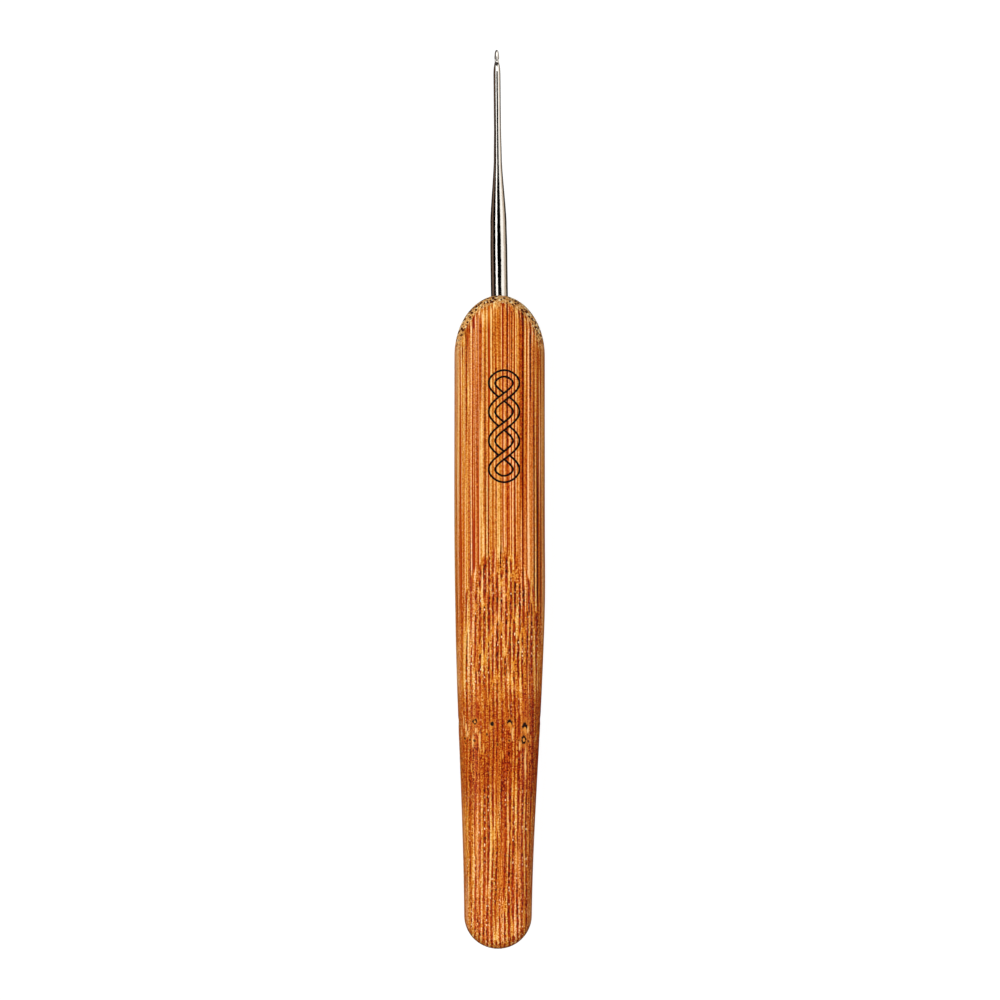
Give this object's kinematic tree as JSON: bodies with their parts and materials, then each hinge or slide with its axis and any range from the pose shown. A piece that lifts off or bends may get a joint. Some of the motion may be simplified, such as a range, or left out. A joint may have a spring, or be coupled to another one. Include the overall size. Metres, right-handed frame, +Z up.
{
  "type": "crochet hook",
  "caption": "Fine steel crochet hook glued into a flattened, tapering bamboo handle with a domed front end and a rounded butt.",
  "frame": {"origin": "centre of the hook's bounding box in X and Y, on the plane it lies on", "axes": "+Y along the tool towards the hook's tip, +Z up out of the front face, where the throat opens, +X across the handle"},
  "size_m": [0.0134, 0.133, 0.0088],
  "materials": {
    "plated_steel": "bright nickel plating, polished, with faint lengthwise drawing marks",
    "carbonised_bamboo": "carbonised bamboo, fibre stripes along the length, thin satin-gloss lacquer",
    "cured_adhesive": "cured epoxy, amber"
  },
  "bodies": {
    "root": {"steel_hook": "plated_steel", "bamboo_handle": "carbonised_bamboo", "adhesive_sleeve": "cured_adhesive"}
  },
  "joints": []
}
